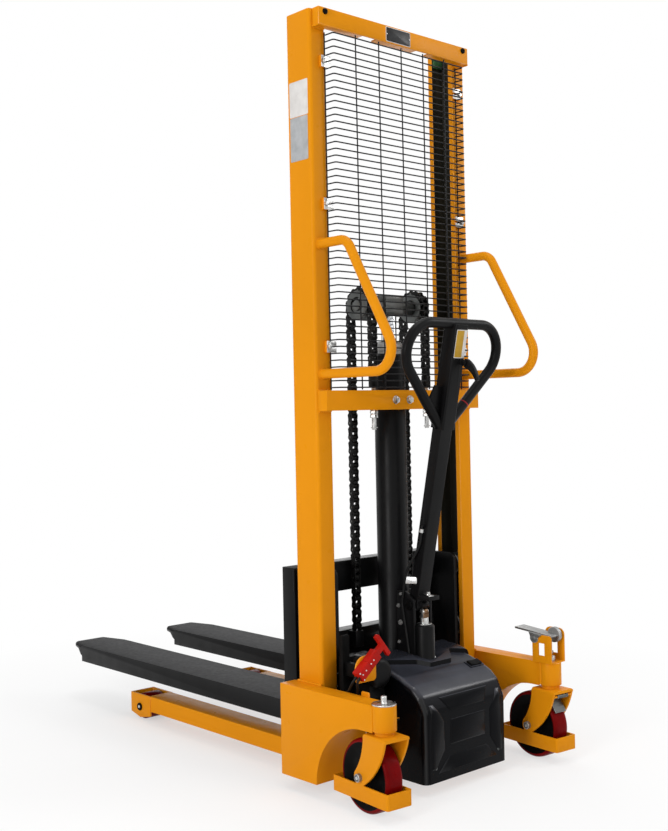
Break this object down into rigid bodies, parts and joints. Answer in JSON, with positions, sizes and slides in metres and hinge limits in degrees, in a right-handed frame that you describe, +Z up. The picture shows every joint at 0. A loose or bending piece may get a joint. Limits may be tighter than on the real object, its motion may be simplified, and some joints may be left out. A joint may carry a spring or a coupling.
{
  "type": "semi-electric stacker",
  "caption": "Walk-behind stacker with a yellow mast, wire guard, chain lift, pallet forks over support legs, pump tiller and braked swivel wheels.",
  "frame": {"origin": "on the floor, under the middle of the machine's outer box", "axes": "+Z up along the mast, +Y towards the fork tips, +X to the operator's right"},
  "size_m": [0.7398, 1.6558, 2.008],
  "materials": {
    "yellow_paint": "gloss",
    "black_paint": "satin",
    "steel": "satin",
    "chrome": "polished",
    "red_tread": "satin",
    "black_plastic": "satin",
    "red_plastic": "satin",
    "cable": "matte"
  },
  "bodies": {
    "base": {"left_upright": "yellow_paint", "right_upright": "yellow_paint", "top_crossbar": "yellow_paint", "mid_crossbar": "yellow_paint", "crossbar_bolts": "steel", "left_grab_handle": "yellow_paint", "right_grab_handle": "yellow_paint", "wire_guard": "black_paint", "guard_clips": "steel", "lift_cylinder": "black_paint", "cylinder_gland": "steel", "chain_anchors": "steel", "anchor_chain_runs": "black_paint", "left_base_box": "yellow_paint", "right_base_box": "yellow_paint", "base_crossbeam": "yellow_paint", "left_leg": "yellow_paint", "right_leg": "yellow_paint", "load_axles": "steel", "left_swivel_barrel": "yellow_paint", "right_swivel_barrel": "yellow_paint", "brake_bracket": "yellow_paint", "pump_body": "black_paint", "tiller_bracket": "black_paint", "tiller_pivot_pin": "steel", "release_cable": "cable", "base_cover": "black_plastic", "power_unit": "black_paint", "connector_plate": "yellow_paint", "connector_housing": "red_plastic", "battery_leads": "cable"},
    "carriage": {"carriage_frame": "black_paint", "left_fork": "black_paint", "right_fork": "black_paint"},
    "ram": {"lift_ram": "chrome", "crosshead": "chrome", "lift_chain_runs": "black_paint"},
    "left_wheel": {"left_chain_wheel": "steel"},
    "right_wheel": {"right_chain_wheel": "steel"},
    "upper_rollers": {"upper_mast_rollers": "steel"},
    "lower_rollers": {"lower_mast_rollers": "steel"},
    "tiller": {"tiller": "black_paint", "tiller_cable": "cable"},
    "finger_lever": {"finger_lever": "black_paint"},
    "plunger": {"pump_plunger": "chrome"},
    "left_caster": {"left_caster_fork": "yellow_paint", "left_caster_axle": "steel", "left_swivel_cap": "chrome"},
    "right_caster": {"right_caster_fork": "yellow_paint", "right_caster_axle": "steel"},
    "left_caster_wheel": {"left_caster_wheel": "red_tread"},
    "right_caster_wheel": {"right_caster_wheel": "red_tread"},
    "brake_pedal": {"brake_pedal": "steel"},
    "brake_rod": {"brake_rod": "steel"},
    "brake_plate": {"brake_plate": "steel"},
    "left_load_roller": {"left_load_roller": "red_tread"},
    "right_load_roller": {"right_load_roller": "red_tread"},
    "rocker": {"rocker_switch": "black_plastic"},
    "plug": {"connector_plug": "red_plastic"}
  },
  "joints": [
    {"name": "carriage_slide", "type": "slide", "parent": "ram", "child": "carriage", "axis": [0, 0, 1], "range_m": [-0.052, 0.704], "deforming": ["lift_chain_runs"]},
    {"name": "ram_slide", "type": "slide", "parent": "base", "child": "ram", "axis": [0, 0, 1], "range_m": [-0.0515, 0.7035], "deforming": ["anchor_chain_runs"]},
    {"name": "left_wheel_turn", "type": "hinge", "parent": "ram", "child": "left_wheel", "pos_m": [-0.10689, -0.49105, 1.252], "axis": [1, 0, 0], "range_deg": [-73, 973]},
    {"name": "right_wheel_turn", "type": "hinge", "parent": "ram", "child": "right_wheel", "pos_m": [0.09711, -0.49105, 1.252], "axis": [1, 0, 0], "range_deg": [-73, 973]},
    {"name": "upper_rollers_turn", "type": "hinge", "parent": "carriage", "child": "upper_rollers", "pos_m": [-0.00489, -0.47705, 0.52], "axis": [1, 0, 0], "range_deg": [-2628, 194]},
    {"name": "lower_rollers_turn", "type": "hinge", "parent": "carriage", "child": "lower_rollers", "pos_m": [-0.00489, -0.47705, 0.345], "axis": [1, 0, 0], "range_deg": [-194, 2628]},
    {"name": "tiller_swing", "type": "hinge", "parent": "base", "child": "tiller", "pos_m": [-0.00489, -0.58405, 0.446], "axis": [1, 0, 0], "range_deg": [0, 40], "stiffness_Nm_per_rad": 60, "springref_deg": -17.19},
    {"name": "plunger_slide", "type": "slide", "parent": "base", "child": "plunger", "axis": [0, 0, 1], "range_m": [-0.0145, 0.0005]},
    {"name": "lever_pull", "type": "hinge", "parent": "tiller", "child": "finger_lever", "pos_m": [-0.00489, -0.75507, 1.08705], "axis": [1, 0, 0], "range_deg": [0, 20], "stiffness_Nm_per_rad": 0.6, "springref_deg": -8.59},
    {"name": "left_swivel", "type": "hinge", "parent": "base", "child": "left_caster", "pos_m": [-0.32589, -0.77205, 0.206], "axis": [0, 0, 1], "continuous": true},
    {"name": "right_swivel", "type": "hinge", "parent": "base", "child": "right_caster", "pos_m": [0.31611, -0.77205, 0.206], "axis": [0, 0, 1], "continuous": true},
    {"name": "left_caster_roll", "type": "hinge", "parent": "left_caster", "child": "left_caster_wheel", "pos_m": [-0.321, -0.72129, 0.09], "axis": [0.9954, -0.0958, 0], "continuous": true},
    {"name": "right_caster_roll", "type": "hinge", "parent": "right_caster", "child": "right_caster_wheel", "pos_m": [0.321, -0.72129, 0.09], "axis": [0.9954, -0.0958, 0], "continuous": true},
    {"name": "left_load_roll", "type": "hinge", "parent": "base", "child": "left_load_roller", "pos_m": [-0.20689, 0.41795, 0.04], "axis": [1, 0, 0], "continuous": true},
    {"name": "right_load_roll", "type": "hinge", "parent": "base", "child": "right_load_roller", "pos_m": [0.19711, 0.41795, 0.04], "axis": [1, 0, 0], "continuous": true},
    {"name": "pedal_tip", "type": "hinge", "parent": "base", "child": "brake_pedal", "pos_m": [0.31611, -0.74505, 0.334], "axis": [1, 0, 0], "range_deg": [0, 6.5]},
    {"name": "rod_push", "type": "slide", "parent": "base", "child": "brake_rod", "axis": [0, 0, 1], "range_m": [-0.00339, 0.0003]},
    {"name": "brake_plate_tip", "type": "hinge", "parent": "right_caster", "child": "brake_plate", "pos_m": [0.31228, -0.81187, 0.1815], "axis": [0.9954, -0.0958, 0], "range_deg": [-4.86, 0.3]},
    {"name": "rocker_tip", "type": "hinge", "parent": "base", "child": "rocker", "pos_m": [0.11111, -0.67169, 0.2752], "axis": [0, 0.9191, 0.3939], "range_deg": [-6, 6]},
    {"name": "plug_pull", "type": "slide", "parent": "base", "child": "plug", "axis": [0.7771, 0, 0.6293], "range_m": [0, 0.06]}
  ],
  "couplings": [
    {"joint": "carriage_slide", "follows": "ram_slide", "ratio": 1},
    {"joint": "left_wheel_turn", "follows": "ram_slide", "rad_per_m": 24.096},
    {"joint": "right_wheel_turn", "follows": "ram_slide", "rad_per_m": 24.096},
    {"joint": "upper_rollers_turn", "follows": "ram_slide", "rad_per_m": -65.147},
    {"joint": "lower_rollers_turn", "follows": "ram_slide", "rad_per_m": 65.147},
    {"joint": "plunger_slide", "follows": "tiller_swing", "m_per_rad": -0.02},
    {"joint": "rod_push", "follows": "pedal_tip", "m_per_rad": -0.02727},
    {"joint": "brake_plate_tip", "follows": "pedal_tip", "ratio": -0.7022}
  ]
}
